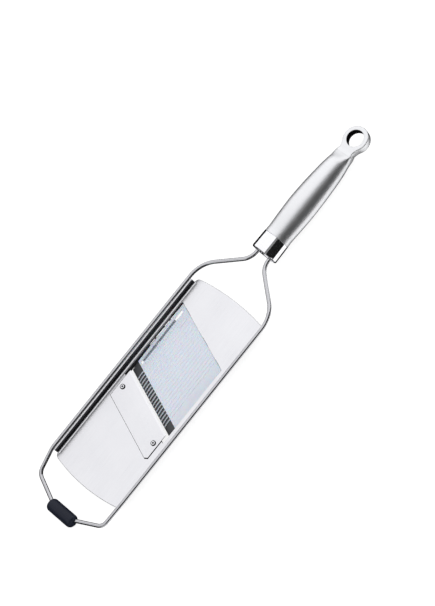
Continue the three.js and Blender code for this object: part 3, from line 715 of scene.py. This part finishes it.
# %% [markdown]
# ## The ramp
#
# The ramp tilts, so everything on it rides on the ramp's own body. Its ribs end in a comb of
# fingers over a dark strip. The vertices of its ribs are lowered by 0.3 mm for a finer look. Of
# the pieces taken over, this is the only one that is changed by more than its bevels.

# %% The ramp and its strip
COMB_LENGTH = 9.6
RIB_LOWERING = 0.3
ABOVE_FLAT = 0.3
RAMP_END = 65.6
FLAT_FROM, FLAT_TOP, RAMP_SLOPE = 4.5, -0.75, 0.0288779


def from_hinge(x, y):
    """How far a point of the ramp lies in front of its hinge, along the slicer."""
    return HINGE_ON_DRAWING.x - (x - tan(SKEW) * y)


def ramp_height(x, y):
    """The height of the ramp's flat top, which falls towards the blade."""
    return FLAT_TOP - RAMP_SLOPE * (from_hinge(x, y) - FLAT_FROM)


bm = softened("depth_ramp", 0.08, clamp=False)
for vert in bm.verts:
    spot = on_drawing(vert.co)
    on_rib = spot.z > ramp_height(spot.x, spot.y) + ABOVE_FLAT
    if on_rib and from_hinge(spot.x, spot.y) < RAMP_END:
        vert.co.z -= RIB_LOWERING * MM
# Faces of the comb near the blade's edge get the darker grey, painted shade of the gap under it.
for face in bm.faces:
    spot = on_drawing(face.calc_center_median())
    ahead = spot.x - tan(SKEW) * spot.y - CUTTING_EDGE
    face.material_index = int(ahead < COMB_LENGTH - 0.3)
carry_over(bm, "ribbed_ramp", "ramp", [ramp_plastic, painted_shade_finger_plastic],
           "depth_ramp")
carry_over(softened("throat_strip", 0.08), "comb_strip", "ramp", [dark_plastic],
           "throat_strip")

# %% [markdown]
# ## The marks along the lane
#
# Beside the ribs runs the lane of the thickness slide, with a long line, fine marks across it
# and a small outlined box at its end. They could be printed, but a thin raised strip catches the
# light as moulded marks do, so each is a low cube with soft edges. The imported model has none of
# them, so this piece stands for no node.

# %% The marks
LANE_LINE_Y = 25.3
LANE_X = (10.5, 63.0)
MARK_FROM_Y, MARK_TO_Y, SHORTER_BY = 26.2, 29.4, 1.4
FIRST_MARK_X, MARK_STEP, MARKS = 12.5, 2, 24
BOX_X, BOX_Y = (52.6, 62.2), (22.7, 24.9)
MARK_WIDTH, BOX_LINE_WIDTH, MARK_HEIGHT, MARK_BEVEL = 0.22, 0.25, 0.08, 0.03


def add_strip(bm, start, end, width):
    """A low flat strip on the ramp between two points."""
    a, b = (Vector((x, y, ramp_height(x, y))) for x, y in (start, end))
    run = b - a
    stand = Matrix.Translation((a + b) / 2) @ run.to_track_quat("X", "Z").to_matrix().to_4x4()
    sizes = Matrix.Diagonal((run.length, width, 2 * MARK_HEIGHT, 1))
    strip = bmesh.ops.create_cube(bm, size=1, matrix=stand @ sizes)["verts"]
    edges = {e for v in strip for e in v.link_edges}
    bmesh.ops.bevel(bm, geom=list(edges), offset=MARK_BEVEL, offset_type="OFFSET", segments=1,
                    profile=0.5, affect="EDGES", material=-1, clamp_overlap=True)


bm = bmesh.new()
add_strip(bm, (LANE_X[0], LANE_LINE_Y), (LANE_X[1], LANE_LINE_Y), MARK_WIDTH)
for k in range(MARKS):
    x = FIRST_MARK_X + MARK_STEP * k
    add_strip(bm, (x, MARK_FROM_Y), (x, MARK_TO_Y - SHORTER_BY * (k % 2)), MARK_WIDTH)
for y in BOX_Y:
    add_strip(bm, (BOX_X[0], y), (BOX_X[1], y), BOX_LINE_WIDTH)
for x in BOX_X:
    add_strip(bm, (x, BOX_Y[0]), (x, BOX_Y[1]), BOX_LINE_WIDTH)
settle(bm, "lane_marks", "ramp", [mark_plastic])

# %% [markdown]
# ## The small parts underneath
#
# Two cheeks under the plate carry the hinge pin and the lift rod, and a slide moves the rod. They
# show from below and through the gaps, so each is softened and finished in the same way. The
# cheeks' inner faces, which face the gap beside the ramp, get a grey painted shade.

# %% Pins, caps, cheeks and the slide
for side, inward in (("left", -1), ("right", 1)):
    bm = softened(f"cheek_{side}", 0.12)
    for face in bm.faces:
        # The cheeks' inner faces face the gap beside the ramp and get the grey painted shade.
        face.material_index = int(face.normal.y * inward > 0.7)
    carry_over(bm, f"cheek_{side}_fine", "frame", [plate_steel, painted_shade_grey_steel],
               f"cheek_{side}")

small_parts = [
    ("hinge_pin", "frame", "polished_steel", wire_steel, 0.15),
    ("pin_cap_left", "frame", "polished_steel", wire_steel, 0.1),
    ("pin_cap_right", "frame", "polished_steel", wire_steel, 0.1),
    ("blade_nut_left", "frame", "polished_steel", wire_steel, 0.12),
    ("blade_nut_right", "frame", "polished_steel", wire_steel, 0.12),
    ("handle_end_plug", "frame", "polished_steel", collar_steel, 0.12),
    ("wire_anchor", "frame", "anchor_resin", anchor_resin, 0.3),
    ("lift_rod", "adjuster", "polished_steel", wire_steel, 0.15),
    ("rod_cap_left", "adjuster", "polished_steel", wire_steel, 0.1),
    ("rod_cap_right", "adjuster", "polished_steel", wire_steel, 0.1),
    ("guide_stud", "adjuster", "polished_steel", wire_steel, 0.15),
]
for node, body, slot, material, width in small_parts:
    carry_over(softened(node, width), f"{node}_fine", body, [material], node)

# %% The slide
bm = softened("depth_slide", 0.06)
for face in bm.faces:
    face.material_index = int(face.normal.z > 0.5)
carry_over(bm, "depth_slide_fine", "adjuster", [dark_plastic, mark_plastic],
           "depth_slide")

# %% [markdown]
# ## The camera
#
# The camera looks down on the slicer's food face, about 60 degrees above the table, and is
# rolled so that the handle points up and to the right. A long lens two metres away keeps the
# plate's sides nearly parallel.

# %% The camera
VIEW_DISTANCE = 2.0
LENS = 144.3
AIM_ON_DRAWING = Vector((88.0, 9.2, 0))
towards_camera = Vector((-0.0414, -0.4996, 0.8653)).normalized()
picture_right = Vector((0.6177, -0.6806, -0.3634))
picture_up = towards_camera.cross(picture_right).normalized()
picture_right = picture_up.cross(towards_camera).normalized()
aim = drawing_origin + AIM_ON_DRAWING * MM
camera = bpy.data.objects.new("camera", bpy.data.cameras.new("camera"))
camera.data.lens = LENS
camera.data.clip_end = 20
turn = Matrix((picture_right, picture_up, towards_camera)).transposed().to_4x4()
camera.matrix_world = Matrix.Translation(aim + towards_camera * VIEW_DISTANCE) @ turn
bpy.context.scene.collection.objects.link(camera)
bpy.context.scene.camera = camera
print("camera at", [round(v, 3) for v in camera.matrix_world.translation])

# %% [markdown]
# ## Floor and light
#
# Polished steel shows its surroundings more than itself. A white room all round makes it white,
# and the dark lines that draw its edges come from dark flags round it and a dark cloth under it.
# They are seen by reflections only: they cast no shadow, and no camera sees them.

# %% The floor
FLOOR_HALF, FLOOR_HEIGHT = 6, -0.0006
FLOOR_TONE, FLOOR_GLOW = 0.4, 0.78
bm = bmesh.new()
bmesh.ops.create_grid(bm, x_segments=1, y_segments=1, size=FLOOR_HALF)
bmesh.ops.translate(bm, vec=(0, 0, FLOOR_HEIGHT), verts=bm.verts)
floor_mesh = bpy.data.meshes.new("floor")
bm.to_mesh(floor_mesh)
bm.free()
floor = bpy.data.objects.new("floor", floor_mesh)
bpy.context.scene.collection.objects.link(floor)
paper = bpy.data.materials.new("white paper")
paper.use_nodes = True
paper_shader = paper.node_tree.nodes["Principled BSDF"]
paper_shader.inputs["Base Color"].default_value = (FLOOR_TONE, FLOOR_TONE, FLOOR_TONE, 1)
paper_shader.inputs["Roughness"].default_value = 0.9
paper_shader.inputs["Emission Color"].default_value = (1, 1, 1, 1)
paper_shader.inputs["Emission Strength"].default_value = FLOOR_GLOW
floor_mesh.materials.append(paper)
print("the floor is", 2 * FLOOR_HALF, "metres wide")

# %% The white room
SLOPE_FROM, SLOPE_TO = -0.15, 0.2
DIM_SIDE, BRIGHT_SIDE = 0.93, 1.14
world = bpy.data.worlds.new("white room")
world.use_nodes = True
nodes, links = world.node_tree.nodes, world.node_tree.links
direction = nodes.new("ShaderNodeTexCoord")
parts = nodes.new("ShaderNodeSeparateXYZ")
links.new(direction.outputs["Generated"], parts.inputs["Vector"])
slope = nodes.new("ShaderNodeMapRange")
slope.inputs["From Min"].default_value = SLOPE_FROM
slope.inputs["From Max"].default_value = SLOPE_TO
slope.inputs["To Min"].default_value = DIM_SIDE
slope.inputs["To Max"].default_value = BRIGHT_SIDE
links.new(parts.outputs["X"], slope.inputs["Value"])
links.new(slope.outputs["Result"], nodes["Background"].inputs["Strength"])
nodes["Background"].inputs["Color"].default_value = (1, 1, 1.01, 1)
bpy.context.scene.world = world
bpy.context.scene.view_settings.view_transform = "Standard"
print("the room's brightness runs from", DIM_SIDE, "to", BRIGHT_SIDE)

# %% The dark flags
def felt(name, tone):
    """A matt cloth of one grey."""
    material = bpy.data.materials.new(name)
    material.use_nodes = True
    shader = material.node_tree.nodes["Principled BSDF"]
    shader.inputs["Base Color"].default_value = (tone, tone, tone, 1)
    shader.inputs["Specular IOR Level"].default_value = 0.0
    return material


black_felt, grey_felt = felt("black felt", 0.01), felt("grey felt", 0.22)


def hang_flag(bm, name, cloth):
    """Makes a flag of cloth that only reflections see."""
    mesh = bpy.data.meshes.new(name)
    bm.to_mesh(mesh)
    bm.free()
    mesh.materials.append(cloth)
    flag = bpy.data.objects.new(name, mesh)
    bpy.context.scene.collection.objects.link(flag)
    flag.visible_camera = flag.visible_diffuse = flag.visible_shadow = False
    flag.visible_transmission = False
    print(name, "hangs in", cloth.name)


FLAG_DISTANCE = 0.9
flags = (("low_flag", 125, 330, 0, 0.4, black_felt), ("end_flag", 330, 415, 0, 0.1, black_felt),
         ("tall_flag", 215, 325, 0, 1.04, black_felt), ("veil", 215, 325, 1.04, 1.9, grey_felt))
for name, first, last, foot, top, cloth in flags:
    bm = bmesh.new()
    spot = Matrix.Rotation(radians(first), 3, "Z") @ Vector((FLAG_DISTANCE, 0, 0))
    bm.edges.new([bm.verts.new(spot + Vector((0, 0, z))) for z in (foot, top)])
    bmesh.ops.spin(bm, geom=bm.verts[:] + bm.edges[:], cent=(0, 0, 0), axis=(0, 0, 1),
                   angle=radians(last - first), steps=24, use_duplicate=False)
    hang_flag(bm, name, cloth)

# %% The dark cloth on the table, open in two places
HANDLE_SIDE_X = 0.06
PLATE_GAP = (-0.12, -0.044)
HANDLE_GAP = (-0.046, -0.016)
CLOTH_HALF, CLOTH_HEIGHT = 1, -0.0003
bm = bmesh.new()
bmesh.ops.create_grid(bm, x_segments=1, y_segments=1, size=CLOTH_HALF,
                      matrix=Matrix.Translation((0, 0, CLOTH_HEIGHT)))
for y in (*PLATE_GAP, *HANDLE_GAP):
    bmesh.ops.bisect_plane(bm, geom=bm.verts[:] + bm.edges[:] + bm.faces[:], dist=1e-7,
                           plane_co=(0, y, 0), plane_no=(0, 1, 0))
bmesh.ops.bisect_plane(bm, geom=bm.verts[:] + bm.edges[:] + bm.faces[:], dist=1e-7,
                       plane_co=(HANDLE_SIDE_X, 0, 0), plane_no=(1, 0, 0))


def is_open(face):
    """True where the cloth is open: a strip beside the plate and one beside the handle."""
    spot = face.calc_center_median()
    near, far = HANDLE_GAP if spot.x > HANDLE_SIDE_X else PLATE_GAP
    return near < spot.y < far


bmesh.ops.delete(bm, geom=[f for f in bm.faces if is_open(f)], context="FACES")
hang_flag(bm, "dark_cloth", black_felt)
